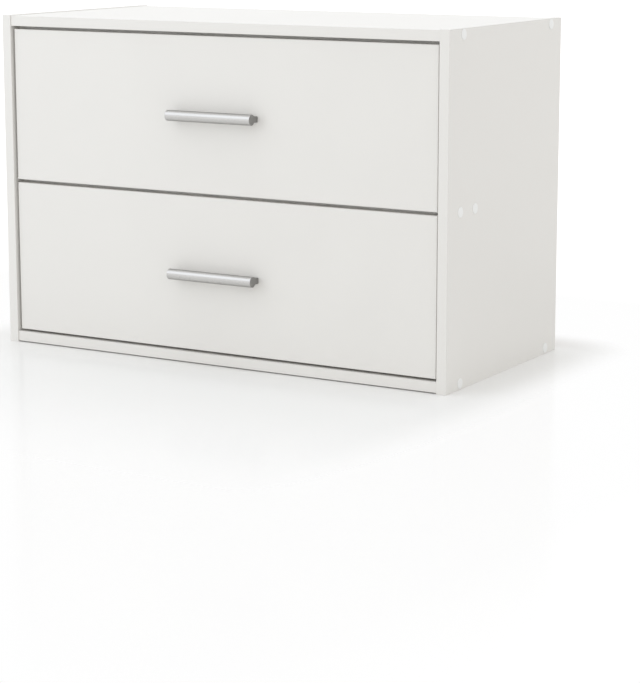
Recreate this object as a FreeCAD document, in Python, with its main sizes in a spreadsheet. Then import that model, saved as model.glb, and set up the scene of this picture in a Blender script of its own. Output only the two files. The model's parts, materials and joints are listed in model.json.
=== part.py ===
import FreeCAD, Part
import os
import re

import Sketcher

# A white two-drawer chest of coated boards, in millimetres. +X is to the right, +Y to the back and
# +Z up. The origin is under the middle of the whole chest, its handles included.
# Pieces are placed from the carcass's front lower left corner. The chest is symmetrical, so what
# the left half has is mirrored for the right half.

SIZES = {
    # carcass
    "carcass_width": (750, "outside width over both side panels"),
    "carcass_height": (497, "height of a side panel"),
    "carcass_depth": (360, "front edge to back edge of a side panel"),
    "board": (15, "thickness of every coated board"),
    "top_drop": (1.0, "top panel below the side panels' upper ends"),
    "bottom_raise": (1.5, "bottom panel above the side panels' lower ends"),
    "panel_recess": (1.5, "top and bottom panels' front edges behind the side panels' front edges"),
    "hardboard": (3, "thickness of the back panel and the drawer bottoms"),
    "groove_depth": (6, "depth of the grooves for the hardboard"),
    "groove_clear": (0.1, "hardboard to each wall of its groove"),
    "groove_end_clear": (1.0, "hardboard's edge to the foot of its groove"),
    "back_inset": (12, "back panel's groove to the panels' back edges"),
    "rail_depth": (76, "front to back size of the middle and top rails"),
    "rail_setback": (2.0, "rails behind the drawer fronts' back faces"),
    # gaps round the drawer fronts
    "front_recess": (5.0, "drawer fronts behind the carcass's front edges"),
    "side_gap": (3.5, "drawer front to side panel"),
    "bottom_gap": (3.6, "bottom panel to lower drawer front"),
    "middle_gap": (5.1, "lower drawer front to upper drawer front"),
    "top_gap": (4.8, "upper drawer front to top panel"),
    # connector screws, cover caps and dowels
    "fit_clear": (0.05, "radial clearance of a screw, dowel or pin in its hole"),
    "end_clear": (0.5, "tip of a screw or dowel to the foot of its hole"),
    "connector_front": (42, "connector screw to the front edge"),
    "connector_back": (36, "connector screw to the back edge"),
    "rail_screw_edge": (15.5, "connector screw to the middle rail's edge"),
    "connector_diameter": (7, "diameter of a connector screw"),
    "connector_length": (50, "length of a connector screw"),
    "connector_head_diameter": (10, "diameter of a connector screw's head"),
    "connector_head": (3, "height of a connector screw's head"),
    "connector_tip": (2.5, "length of a connector screw's tapered tip"),
    "connector_point": (3.5, "diameter of a connector screw's tip"),
    "socket_flats": (4, "hexagon socket across its flats"),
    "socket_depth": (2.5, "depth of the hexagon socket"),
    "cap_diameter": (15, "diameter of a cover cap"),
    "cap_height": (1.0, "cover cap in front of the side panel"),
    "cap_bevel": (0.4, "bevel round a cover cap"),
    "cap_pin_clear": (0.1, "cover cap's pin to the socket's flats"),
    "cap_pin_end": (0.3, "cover cap's pin to the foot of the socket"),
    "dowel_diameter": (8, "diameter of a dowel"),
    "dowel_length": (30, "length of a dowel"),
    "dowel_bevel": (1, "bevel at a dowel's ends"),
    "dowel_in_face": (10, "dowel's length in the face of a board"),
    "dowel_from_front": (115, "front carcass dowel to the front edge"),
    "dowel_from_back": (115, "back carcass dowel to the back edge"),
    "rail_screw_diameter": (3.5, "screw that holds the top rail to the top panel"),
    "rail_screw_length": (25, "length of that screw below its head"),
    "rail_screw_head_diameter": (7, "diameter of its head"),
    "rail_screw_head": (2, "height of its head"),
    "rail_screw_end": (60, "outer rail screw to the top rail's end"),
    # drawer box
    "box_back_gap": (19.8, "drawer sides' rear ends to the back panel's groove"),
    "box_height": (170, "height of a drawer side"),
    "box_lift": (15, "drawer side's lower edge above its front's lower edge"),
    "bottom_lift": (10, "drawer bottom's groove above the drawer side's lower edge"),
    # cam locks that hold the drawer sides to the front
    "cam_diameter": (15, "diameter of a cam lock"),
    "cam_height": (12.5, "height of a cam lock"),
    "cam_setback": (24, "cam lock's middle to the drawer side's front end"),
    "cam_edge": (37, "cam lock's middle to the drawer side's edge"),
    "cam_slot": (7.4, "width of the slot for the bolt in a cam lock"),
    "cam_slot_past": (4.2, "slot's length past the cam lock's middle"),
    "cam_key": (1.6, "width of the screwdriver slot in a cam lock"),
    "cam_key_length": (7.5, "length of the screwdriver slot in a cam lock"),
    "cam_key_depth": (2, "depth of the screwdriver slot in a cam lock"),
    "bolt_thread": (6, "diameter of a cam bolt's thread"),
    "bolt_anchor": (11, "cam bolt's length in the drawer front"),
    "bolt_shank": (7, "diameter of a cam bolt's shank"),
    "bolt_neck": (4, "diameter of a cam bolt's neck"),
    "bolt_neck_length": (4, "length of a cam bolt's neck"),
    "bolt_head": (3.2, "height of a cam bolt's head"),
    "bolt_bore": (8, "diameter of the bore for the bolt in a drawer side"),
    # small screws
    "back_screw_diameter": (4, "screw that holds a drawer side to the drawer back"),
    "back_screw_length": (35, "length of that screw below its head"),
    "back_screw_head_diameter": (8, "diameter of its head"),
    "back_screw_head": (2.4, "height of its head"),
    "back_screw_edge": (36, "that screw to the drawer back's edge"),
    "bottom_screw_diameter": (3, "screw that holds a drawer bottom to the drawer back"),
    "bottom_screw_length": (16, "length of that screw below its head"),
    "bottom_screw_head_diameter": (6, "diameter of its head"),
    "bottom_screw_head": (1.5, "height of its head"),
    "bottom_screw_edge": (60, "outer bottom screw to the drawer back's end"),
    # roller runners
    "runner_space": (12.5, "side panel to drawer side"),
    "runner_short": (5, "cabinet runner member shorter than a drawer side"),
    "runner_setback": (1.5, "runner members behind the drawer front"),
    "sheet": (1.2, "thickness of the runners' sheet steel"),
    "running_gap": (0.3, "roller to its track, to its member and to the channel's end"),
    "roller_diameter": (18, "diameter of a roller"),
    "roller_width": (5.6, "width of a roller"),
    "roller_bevel": (0.6, "bevel at a roller's rims"),
    "front_roller_inset": (26, "front roller's axis to the cabinet member's front end"),
    "channel_reach": (10.3, "cabinet member's lower flange, from the side panel"),
    "lip_reach": (8, "cabinet member's upper flange, from the side panel"),
    "lip_play": (1.0, "upper flange above the drawer member's track"),
    "track_start": (4, "drawer member's track, from the side panel"),
    "track_play": (0.7, "track above the rear roller"),
    "ledge_reach": (12, "drawer member's ledge under the drawer side"),
    "rivet_diameter": (4, "diameter of a roller's rivet"),
    "rivet_head_diameter": (6.5, "diameter of a rivet's head"),
    "rivet_head": (0.8, "height of a rivet's head"),
    "rivet_head_clear": (0.2, "rivet's head to the roller"),
    "cabinet_screw_diameter": (6, "screw that holds a cabinet member"),
    "cabinet_screw_length": (11, "length of that screw below its head"),
    "cabinet_screw_head_diameter": (8.4, "diameter of its head"),
    "cabinet_screw_head": (2, "height of its head"),
    "cabinet_screw_first": (47, "first cabinet screw to the member's front end"),
    "cabinet_screw_pitch": (192, "first cabinet screw to the second"),
    "cabinet_screw_height": (11, "cabinet screw above the member's lower face"),
    "member_screw_diameter": (3.5, "screw that holds a drawer member"),
    "member_screw_length": (11, "length of that screw below its head"),
    "member_screw_head_diameter": (6.6, "diameter of its head"),
    "member_screw_head": (1.7, "height of its head"),
    "member_screw_first": (30, "first drawer member screw to the member's front end"),
    "member_screw_pitch": (210, "first drawer member screw to the second"),
    "member_screw_height": (6.2, "drawer member screw above the member's lower face"),
    # handle
    "handle_pitch": (128, "handle screw to handle screw"),
    "foot_length": (14.6, "length of a handle foot along the bar"),
    "foot_height": (8.6, "height of a handle foot"),
    "bar_diameter": (15.4, "diameter of the handle's bar"),
    "handle_standoff": (15.6, "bar's axis in front of the drawer front"),
    "bar_bevel": (1.0, "bevel at the bar's ends"),
    "handle_drop": (1.0, "handle below the middle of the drawer front"),
    "handle_screw_diameter": (4, "diameter of a handle screw"),
    "handle_screw_grip": (7, "handle screw's length in the handle's foot"),
    "handle_screw_head_diameter": (8, "diameter of its head"),
    "handle_screw_head": (2.6, "height of its head"),
    "handle_hole_clear": (0.3, "handle screw to the wall of its hole in the drawer front"),
    "cross_width": (1.2, "width of the cross in a small screw's head"),
    "cross_span": (4.8, "length of the cross's arms from tip to tip"),
    "cross_depth": (0.9, "depth of the cross in a small screw's head"),
}

# Sizes that follow from the ones above. They may name each other.
DERIVED = {
    "inner_width": "carcass_width - 2 * board",
    "handle_proud": "handle_standoff + bar_diameter / 2 - front_recess",
    "front_plane": "(handle_proud - carcass_depth) / 2",
    "panel_depth": "carcass_depth - panel_recess",
    "floor_z": "bottom_raise + board",
    "ceiling_z": "carcass_height - top_drop - board",
    "front_width": "inner_width - 2 * side_gap",
    "front_height": "(ceiling_z - floor_z - bottom_gap - middle_gap - top_gap) / 2",
    "lower_front_z": "floor_z + bottom_gap",
    "upper_front_z": "lower_front_z + front_height + middle_gap",
    "rail_y": "front_recess + board + rail_setback",
    "rail_mid_z": "upper_front_z - middle_gap / 2",
    "connector_back_y": "carcass_depth - connector_back",
    "rail_front_screw_y": "rail_y + rail_screw_edge",
    "rail_back_screw_y": "rail_y + rail_depth - rail_screw_edge",
    "low_joint_z": "bottom_raise + board / 2",
    "high_joint_z": "ceiling_z + board / 2",
    "dowel_back_y": "carcass_depth - dowel_from_back",
    "groove_width": "hardboard + 2 * groove_clear",
    "tongue": "groove_depth - groove_end_clear",
    "back_groove_y": "carcass_depth - back_inset - groove_width",
    "socket_radius": "socket_flats / sqrt(3)",
    "box_x": "board + runner_space",
    "box_y": "front_recess + board",
    "box_length": "back_groove_y - box_back_gap - box_y",
    "box_inner_x": "box_x + board",
    "box_inner_width": "carcass_width - 2 * box_inner_x",
    "drawer_back_lift": "bottom_lift + groove_width",
    "drawer_back_height": "box_height - drawer_back_lift",
    "roller_radius": "roller_diameter / 2",
    "runner_y": "box_y + runner_setback",
    "runner_length": "box_length - runner_short",
    "rear_roller_lift": "running_gap + roller_radius",
    "track_lift": "running_gap + roller_diameter + track_play",
    "front_roller_lift": "track_lift - running_gap - roller_radius",
    "channel_height": "sheet + track_lift + sheet + lip_play + sheet",
    "rear_roller_inset": "runner_length - sheet - running_gap - roller_radius",
    "member_length": "runner_length - sheet - 2 * running_gap",
    "web_x": "runner_space - sheet",
    "handle_length": "handle_pitch + foot_length",
    "handle_x": "(carcass_width - handle_length) / 2",
}

DRAWERS = {"lower": "lower_front_z", "upper": "upper_front_z"}

TO_RIGHT = FreeCAD.Rotation(FreeCAD.Vector(0, 0, 1), FreeCAD.Vector(1, 0, 0))
TO_LEFT = FreeCAD.Rotation(FreeCAD.Vector(0, 0, 1), FreeCAD.Vector(-1, 0, 0))
TO_BACK = FreeCAD.Rotation(FreeCAD.Vector(0, 0, 1), FreeCAD.Vector(0, 1, 0))
TO_FRONT = FreeCAD.Rotation(FreeCAD.Vector(0, 0, 1), FreeCAD.Vector(0, -1, 0))
UPWARD = FreeCAD.Rotation()

doc = FreeCAD.newDocument("two_drawer_chest")
sheet = doc.addObject("Spreadsheet::Sheet", "Sizes")
sub_parts = []


def fill_sheet():
    """Writes each size in a row: its name, its value and what it measures."""
    for row, (name, (value, meaning)) in enumerate(SIZES.items(), start=1):
        sheet.set(f"A{row}", name)
        sheet.set(f"B{row}", str(value))
        sheet.set(f"C{row}", meaning)
        sheet.setAlias(f"B{row}", name)
    doc.recompute()


def formula(text):
    """The text with each size as its cell, and each derived size written out."""
    def written_out(match):
        word = match.group(0)
        if word in DERIVED:
            return "(" + formula(DERIVED[word]) + ")"
        if word in SIZES:
            return "Sizes." + word
        return word
    return re.sub(r"[a-z][a-z_]*", written_out, text)


def bind(target, path, text):
    target.setExpression(path, formula(text))


def place(target, corner, rotation=UPWARD):
    """Places a piece by a point measured from the carcass's front lower left corner."""
    x, y, z = corner
    target.Placement = FreeCAD.Placement(FreeCAD.Vector(), rotation)
    bind(target, "Placement.Base.x", f"{x} - carcass_width / 2")
    bind(target, "Placement.Base.y", f"{y} + front_plane")
    bind(target, "Placement.Base.z", z)


def keep(target, label):
    """Marks an object as a sub-part, whose label names its file."""
    target.Label = label
    sub_parts.append(target)
    return target


# Sketches, and the features made from them


def sketch_on(body, plane, offset, name):
    """An empty sketch on one of the body's origin planes, offset along that plane's normal."""
    origin_plane = [item for item in body.Origin.OriginFeatures if item.Role == plane][0]
    sketch = body.newObject("Sketcher::SketchObject", name)
    sketch.AttachmentSupport = [(origin_plane, "")]
    sketch.MapMode = "FlatFace"
    bind(sketch, "AttachmentOffset.Base.z", offset)
    return sketch


def pin_point(sketch, line, end, across, up):
    """Holds one end of a line, or a circle's centre, at a distance from the sketch's origin."""
    start = sketch.getPoint(line, end)
    for kind, value, text in (("DistanceX", start.x, across), ("DistanceY", start.y, up)):
        index = sketch.addConstraint(Sketcher.Constraint(kind, -1, 1, line, end, value))
        bind(sketch, f"Constraints[{index}]", text)


def add_outline(sketch, points):
    """A closed outline of straight lines through the points."""
    first = sketch.GeometryCount
    count = len(points)
    for index in range(count):
        start = FreeCAD.Vector(index, index * index, 0)
        following = (index + 1) % count
        end = FreeCAD.Vector(following, following * following, 0)
        sketch.addGeometry(Part.LineSegment(start, end), False)
    for index in range(count):
        following = first + (index + 1) % count
        sketch.addConstraint(Sketcher.Constraint("Coincident", first + index, 2, following, 1))
    for index, (across, up) in enumerate(points):
        pin_point(sketch, first + index, 1, across, up)


def add_rectangle(sketch, left, low, width, height):
    right = f"{left} + {width}"
    top = f"{low} + {height}"
    add_outline(sketch, [(left, low), (right, low), (right, top), (left, top)])


def add_circle(sketch, across, up, diameter):
    circle = Part.Circle(FreeCAD.Vector(1, 1, 0), FreeCAD.Vector(0, 0, 1), 1.0)
    index = sketch.addGeometry(circle, False)
    pin_point(sketch, index, 3, across, up)
    size = sketch.addConstraint(Sketcher.Constraint("Diameter", index, 2.0))
    bind(sketch, f"Constraints[{size}]", diameter)


# A face is an origin plane, its offset along that plane's normal, and whether the solid lies on
# the side that the normal points to.


def left_face():
    return ("YZ_Plane", "0", True)


def right_face(width):
    return ("YZ_Plane", width, False)


def front_face():
    return ("XZ_Plane", "0", False)


def back_face(depth):
    return ("XZ_Plane", f"-({depth})", True)


def lower_face():
    return ("XY_Plane", "0", True)


def upper_face(height):
    return ("XY_Plane", height, False)


def feature(body, kind, sketch, length, reverse, name):
    made = body.newObject(kind, name)
    made.Profile = sketch
    made.Reversed = reverse
    bind(made, "Length", length)
    return made


def new_body(name):
    return doc.addObject("PartDesign::Body", name)


def pad_outline(body, plane, points, length, reverse, name):
    sketch = sketch_on(body, plane, "0", name + "_sketch")
    add_outline(sketch, points)
    return feature(body, "PartDesign::Pad", sketch, length, reverse, name)


def drill(body, face, centres, diameter, depth, name):
    """Round holes of one size and depth into a face."""
    plane, offset, reverse = face
    sketch = sketch_on(body, plane, offset, name + "_sketch")
    for across, up in centres:
        add_circle(sketch, across, up, diameter)
    feature(body, "PartDesign::Pocket", sketch, depth, reverse, name)


def mill(body, face, rectangles, depth, name):
    """Straight-sided recesses of one depth into a face: left, low, width and height of each."""
    plane, offset, reverse = face
    sketch = sketch_on(body, plane, offset, name + "_sketch")
    for rectangle in rectangles:
        add_rectangle(sketch, *rectangle)
    feature(body, "PartDesign::Pocket", sketch, depth, reverse, name)


def cut_board(label, corner, width, depth, height):
    """A board as its own sub-part, measured from its front lower left corner."""
    body = keep(new_body(label), label)
    sketch = sketch_on(body, "XY_Plane", "0", label + "_outline")
    add_rectangle(sketch, "0", "0", width, depth)
    feature(body, "PartDesign::Pad", sketch, height, False, label + "_pad")
    place(body, corner)
    return body


def turned(name, outline):
    """A piece turned about its +Z axis; the outline is (radius, height) from the axis and back."""
    body = new_body(name)
    sketch = sketch_on(body, "XZ_Plane", "0", name + "_outline")
    add_outline(sketch, outline)
    revolution = body.newObject("PartDesign::Revolution", name + "_turning")
    revolution.Profile = sketch
    revolution.ReferenceAxis = (sketch, ["V_Axis"])
    revolution.Angle = 360
    return body


def mirrored(label, source):
    """The right-hand twin of a left-hand sub-part."""
    twin = doc.addObject("Part::Mirroring", label)
    twin.Source = source
    twin.Normal = FreeCAD.Vector(1, 0, 0)
    twin.Base = FreeCAD.Vector(0, 0, 0)
    return keep(twin, label)


def copies(label, pattern_piece, rotation, places, both_sides=True):
    """One sub-part of separate like pieces, and their mirror images where both sides have them."""
    group = doc.addObject("Part::Compound", label + "_row")
    links = []
    for number, corner in enumerate(places, start=1):
        link = doc.addObject("App::Link", f"{label}_{number}")
        link.LinkedObject = pattern_piece
        place(link, corner, rotation)
        links.append(link)
    group.Links = links
    if not both_sides:
        return keep(group, label)
    opposite = doc.addObject("Part::Mirroring", label + "_opposite")
    opposite.Source = group
    opposite.Normal = FreeCAD.Vector(1, 0, 0)
    opposite.Base = FreeCAD.Vector(0, 0, 0)
    pair = doc.addObject("Part::Compound", label)
    pair.Links = [group, opposite]
    return keep(pair, label)


# Fasteners, each made once and copied


def headed_screw(name, length):
    """A small screw with a flat head, a pointed tip and a cross in its head."""
    radius = f"{name}_diameter / 2"
    head_radius = f"{name}_head_diameter / 2"
    neck = f"{name}_head"
    tip = f"{name}_head + {length}"
    body = turned(name, [
        ("0", "0"),
        (head_radius, "0"),
        (head_radius, neck),
        (radius, neck),
        (radius, f"{tip} - {radius}"),
        ("0", tip),
    ])
    cut_cross(body, name)
    return body


def cut_cross(body, name):
    """A cross-shaped recess in a screw's head, as one outline of twelve corners."""
    plane, offset, reverse = lower_face()
    half = "cross_width / 2"
    arm = "cross_span / 2"
    sketch = sketch_on(body, plane, offset, name + "_cross_sketch")
    add_outline(sketch, [
        (f"-{half}", f"-{arm}"), (half, f"-{arm}"), (half, f"-{half}"), (arm, f"-{half}"),
        (arm, half), (half, half), (half, arm), (f"-{half}", arm),
        (f"-{half}", half), (f"-{arm}", half), (f"-{arm}", f"-{half}"), (f"-{half}", f"-{half}"),
    ])
    feature(body, "PartDesign::Pocket", sketch, "cross_depth", reverse, name + "_cross")


def make_connector():
    """The one-piece connector screw, with a hexagon socket in its head."""
    radius = "connector_diameter / 2"
    head_radius = "connector_head_diameter / 2"
    body = turned("connector_blank", [
        ("0", "0"),
        (head_radius, "0"),
        (head_radius, "connector_head"),
        (radius, "connector_head"),
        (radius, "connector_length - connector_tip"),
        ("connector_point / 2", "connector_length"),
        ("0", "connector_length"),
    ])
    socket = doc.addObject("Part::Prism", "connector_socket")
    socket.Polygon = 6
    bind(socket, "Circumradius", "socket_radius")
    bind(socket, "Height", "socket_depth")
    screw = doc.addObject("Part::Cut", "connector_screw")
    screw.Base = body
    screw.Tool = socket
    return screw


def make_cap():
    radius = "cap_diameter / 2"
    pin = "socket_flats / 2 - cap_pin_clear"
    pin_end = "cap_height + socket_depth - cap_pin_end"
    return turned("cover_cap", [
        ("0", "0"),
        (f"{radius} - cap_bevel", "0"),
        (radius, "cap_bevel"),
        (radius, "cap_height"),
        (pin, "cap_height"),
        (pin, pin_end),
        ("0", pin_end),
    ])


def make_dowel():
    radius = "dowel_diameter / 2"
    return turned("dowel", [
        ("0", "0"),
        (f"{radius} - dowel_bevel", "0"),
        (radius, "dowel_bevel"),
        (radius, "dowel_length - dowel_bevel"),
        (f"{radius} - dowel_bevel", "dowel_length"),
        ("0", "dowel_length"),
    ])


def make_rivet():
    """A roller's rivet: its head comes first, and its end is flush with the sheet it is set in."""
    radius = "rivet_diameter / 2"
    head_radius = "rivet_head_diameter / 2"
    length = "rivet_head + rivet_head_clear + roller_width + running_gap + sheet"
    return turned("roller_rivet", [
        ("0", "0"),
        (head_radius, "0"),
        (head_radius, "rivet_head"),
        (radius, "rivet_head"),
        (radius, length),
        ("0", length),
    ])


def make_cam():
    """A cam lock: a drum with a slot for the bolt's head and a screwdriver slot on its face."""
    radius = "cam_diameter / 2"
    body = turned("cam_lock", [("0", "0"), (radius, "0"), (radius, "cam_height"), ("0", "cam_height")])
    plane, offset, reverse = lower_face()
    key = sketch_on(body, plane, offset, "cam_key_sketch")
    add_rectangle(key, "-cam_key_length / 2", "-cam_key / 2", "cam_key_length", "cam_key")
    feature(body, "PartDesign::Pocket", key, "cam_key_depth", reverse, "cam_key_cut")
    slot = sketch_on(body, "YZ_Plane", "-cam_slot / 2", "cam_slot_sketch")
    add_rectangle(slot, f"-{radius} - board", "board / 2 - cam_slot / 2",
                  f"{radius} + board + cam_slot_past", "cam_slot")
    feature(body, "PartDesign::Pocket", slot, "cam_slot", True, "cam_slot_cut")
    return body


def make_cam_bolt():
    """A cam bolt: its thread is in the drawer front and its head in the cam lock."""
    thread = "bolt_thread / 2"
    shank = "bolt_shank / 2"
    neck = "bolt_neck / 2"
    tip = "bolt_anchor + cam_setback + bolt_head / 2"
    neck_end = f"{tip} - bolt_head"
    neck_start = f"{neck_end} - bolt_neck_length"
    return turned("cam_bolt", [
        ("0", "0"),
        (thread, "0"),
        (thread, "bolt_anchor"),
        (shank, "bolt_anchor"),
        (shank, neck_start),
        (neck, neck_start),
        (neck, neck_end),
        (shank, neck_end),
        (shank, tip),
        ("0", tip),
    ])


# Carcass


def make_side_panels():
    panel = cut_board("left_side_panel", ("0", "0", "0"), "board", "carcass_depth", "carcass_height")
    joints = [
        ("connector_front", "low_joint_z"),
        ("connector_back_y", "low_joint_z"),
        ("connector_front", "high_joint_z"),
        ("connector_back_y", "high_joint_z"),
        ("rail_front_screw_y", "rail_mid_z"),
        ("rail_back_screw_y", "rail_mid_z"),
    ]
    drill(panel, left_face(), joints, "connector_diameter + 2 * fit_clear", "board", "screw_holes")
    drill(panel, left_face(), joints, "connector_head_diameter + 2 * fit_clear", "connector_head",
          "head_recesses")
    dowels = [
        (y, z)
        for y in ("dowel_from_front", "dowel_back_y")
        for z in ("low_joint_z", "high_joint_z")
    ]
    drill(panel, right_face("board"), dowels, "dowel_diameter + 2 * fit_clear",
          "dowel_in_face + end_clear", "dowel_holes")
    runner_screws = [
        (y, f"{front_z} + box_lift - 2 * sheet + cabinet_screw_height")
        for y in cabinet_screw_ys()
        for front_z in DRAWERS.values()
    ]
    drill(panel, right_face("board"), runner_screws, "cabinet_screw_diameter + 2 * fit_clear",
          "cabinet_screw_length - sheet + end_clear", "runner_holes")
    low = "floor_z - groove_depth"
    mill(panel, right_face("board"),
         [("back_groove_y", low, "groove_width", f"ceiling_z + groove_depth - ({low})")],
         "groove_depth", "back_groove")
    mirrored("right_side_panel", panel)
    return joints, dowels


def end_holes(body, connectors, dowels, width, name):
    """Holes for the connector screws and dowels in both ends of a board."""
    screw_depth = "connector_length - board + end_clear"
    dowel_depth = "dowel_length - dowel_in_face + end_clear"
    for side, face in (("left", left_face()), ("right", right_face(width))):
        drill(body, face, connectors, "connector_diameter + 2 * fit_clear", screw_depth,
              f"{name}_{side}_screw_holes")
        if dowels:
            drill(body, face, dowels, "dowel_diameter + 2 * fit_clear", dowel_depth,
                  f"{name}_{side}_dowel_holes")


def top_rail_screws():
    """The screws up through the top rail, measured from its front left corner."""
    return [(x, "rail_depth / 2")
            for x in ("rail_screw_end", "inner_width / 2", "inner_width - rail_screw_end")]


def make_level_panels():
    """The top and bottom panels, with the back panel's groove in their inner faces."""
    groove = [("0", "back_groove_y - panel_recess", "inner_width", "groove_width")]
    connectors = [
        (f"{y} - panel_recess", "board / 2") for y in ("connector_front", "connector_back_y")
    ]
    dowels = [(f"{y} - panel_recess", "board / 2") for y in ("dowel_from_front", "dowel_back_y")]
    panels = {}
    for label, z, inner_face in (
        ("bottom_panel", "bottom_raise", upper_face("board")),
        ("top_panel", "ceiling_z", lower_face()),
    ):
        corner = ("board", "panel_recess", z)
        panels[label] = cut_board(label, corner, "inner_width", "panel_depth", "board")
        end_holes(panels[label], connectors, dowels, "inner_width", label)
        mill(panels[label], inner_face, groove, "groove_depth", label + "_groove")
    pilots = [(x, f"rail_y + {y} - panel_recess") for x, y in top_rail_screws()]
    drill(panels["top_panel"], lower_face(), pilots, "rail_screw_diameter + 2 * fit_clear",
          "rail_screw_length - board + end_clear", "top_rail_pilots")


def make_middle_rail():
    rail = cut_board("middle_rail", ("board", "rail_y", "rail_mid_z - board / 2"),
                     "inner_width", "rail_depth", "board")
    connectors = [("rail_screw_edge", "board / 2"), ("rail_depth - rail_screw_edge", "board / 2")]
    end_holes(rail, connectors, [], "inner_width", "rail")


def make_top_rail():
    """The rail under the top panel, which closes the gap over the upper drawer front."""
    rail = cut_board("top_rail", ("board", "rail_y", "ceiling_z - board"),
                     "inner_width", "rail_depth", "board")
    drill(rail, lower_face(), top_rail_screws(), "rail_screw_diameter + 2 * fit_clear", "board",
          "top_rail_screw_holes")
    copies("top_rail_screws", fasteners["rail screw"], UPWARD, [
        (f"board + {x}", f"rail_y + {y}", "ceiling_z - board - rail_screw_head")
        for x, y in top_rail_screws()
    ], both_sides=False)


def make_back_panel():
    cut_board("back_panel", ("board - tongue", "back_groove_y + groove_clear", "floor_z - tongue"),
              "inner_width + 2 * tongue", "hardboard", "ceiling_z - floor_z + 2 * tongue")


def make_carcass():
    joints, dowels = make_side_panels()
    make_level_panels()
    make_middle_rail()
    make_top_rail()
    make_back_panel()
    copies("carcass_screws", make_connector(), TO_RIGHT, [("0", y, z) for y, z in joints])
    copies("screw_caps", make_cap(), TO_RIGHT, [("-cap_height", y, z) for y, z in joints])
    copies("carcass_dowels", fasteners["dowel"], TO_RIGHT,
           [("board - dowel_in_face", y, z) for y, z in dowels])


# Runners


def cabinet_screw_ys():
    first = "runner_y + cabinet_screw_first"
    return [first, f"{first} + cabinet_screw_pitch"]


def make_roller(label, middle_x, y, z):
    """A roller with its axis along X, half of its width on each side of middle_x."""
    radius = "roller_radius"
    bore = "rivet_diameter / 2 + fit_clear"
    roller = keep(turned(label, [
        (bore, "0"),
        (f"{radius} - roller_bevel", "0"),
        (radius, "roller_bevel"),
        (radius, "roller_width - roller_bevel"),
        (f"{radius} - roller_bevel", "roller_width"),
        (bore, "roller_width"),
    ]), label)
    place(roller, (f"{middle_x} - roller_width / 2", y, z), TO_RIGHT)
    return roller


def make_cabinet_runners(level, front_z):
    """The members on the side panels: a channel with a roller near its front end."""
    base_z = f"{front_z} + box_lift - 2 * sheet"
    label = f"{level}_left_cabinet_runner"
    member = keep(new_body(label), label)
    pad_outline(member, "XZ_Plane", [
        ("0", "0"),
        ("channel_reach", "0"),
        ("channel_reach", "sheet"),
        ("sheet", "sheet"),
        ("sheet", "channel_height - sheet"),
        ("lip_reach", "channel_height - sheet"),
        ("lip_reach", "channel_height"),
        ("0", "channel_height"),
    ], "runner_length", True, label + "_channel")
    stop = sketch_on(member, "XZ_Plane", "-runner_length", label + "_stop_sketch")
    add_rectangle(stop, "0", "0", "lip_reach", "channel_height")
    feature(member, "PartDesign::Pad", stop, "sheet", False, label + "_stop")
    drill(member, left_face(), [("front_roller_inset", "sheet + front_roller_lift")],
          "rivet_diameter + 2 * fit_clear", "sheet", label + "_rivet_hole")
    holes = [
        ("cabinet_screw_first", "cabinet_screw_height"),
        ("cabinet_screw_first + cabinet_screw_pitch", "cabinet_screw_height"),
    ]
    drill(member, left_face(), holes, "cabinet_screw_diameter + 2 * fit_clear", "sheet",
          label + "_screw_holes")
    place(member, ("board", "runner_y", base_z))
    mirrored(f"{level}_right_cabinet_runner", member)

    roller_y = "runner_y + front_roller_inset"
    roller_z = f"{base_z} + sheet + front_roller_lift"
    roller = make_roller(f"{level}_left_front_roller",
                         "board + sheet + running_gap + roller_width / 2", roller_y, roller_z)
    mirrored(f"{level}_right_front_roller", roller)
    rivet_x = "board + sheet + running_gap + roller_width + rivet_head_clear + rivet_head"
    copies(f"{level}_front_roller_rivets", fasteners["rivet"], TO_LEFT,
           [(rivet_x, roller_y, roller_z)])
    copies(f"{level}_cabinet_runner_screws", fasteners["cabinet screw"], TO_LEFT, [
        ("board + sheet + cabinet_screw_head", y, f"{base_z} + cabinet_screw_height")
        for y in cabinet_screw_ys()
    ])


def make_drawer_runners(level, front_z):
    """The members under the drawer sides: a track above, a ledge below and a roller at the rear."""
    base_z = f"{front_z} + box_lift - sheet"
    label = f"{level}_left_drawer_runner"
    member = keep(new_body(label), label)
    web = "web_x - track_start"
    ledge = "runner_space - track_start + ledge_reach"
    pad_outline(member, "XZ_Plane", [
        (web, "0"),
        (ledge, "0"),
        (ledge, "sheet"),
        (f"{web} + sheet", "sheet"),
        (f"{web} + sheet", "track_lift + sheet"),
        ("0", "track_lift + sheet"),
        ("0", "track_lift"),
        (web, "track_lift"),
    ], "member_length", True, label + "_profile")
    plane, _, reverse = left_face()
    rivet_face = (plane, web, reverse)
    drill(member, rivet_face, [("rear_roller_inset", "rear_roller_lift")],
          "rivet_diameter + 2 * fit_clear", "sheet", label + "_rivet_hole")
    holes = [
        ("member_screw_first", "member_screw_height"),
        ("member_screw_first + member_screw_pitch", "member_screw_height"),
    ]
    drill(member, rivet_face, holes, "member_screw_diameter + 2 * fit_clear", "sheet",
          label + "_screw_holes")
    place(member, ("board + track_start", "runner_y", base_z))
    mirrored(f"{level}_right_drawer_runner", member)

    roller_y = "runner_y + rear_roller_inset"
    roller_z = f"{base_z} + rear_roller_lift"
    roller = make_roller(f"{level}_left_rear_roller",
                         "board + web_x - running_gap - roller_width / 2", roller_y, roller_z)
    mirrored(f"{level}_right_rear_roller", roller)
    rivet_x = "board + web_x - running_gap - roller_width - rivet_head_clear - rivet_head"
    copies(f"{level}_rear_roller_rivets", fasteners["rivet"], TO_RIGHT,
           [(rivet_x, roller_y, roller_z)])
    copies(f"{level}_drawer_runner_screws", fasteners["member screw"], TO_RIGHT, [
        ("board + web_x - member_screw_head", f"runner_y + {y}", f"{base_z} + {z}")
        for y, z in holes
    ])


# Drawers


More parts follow.
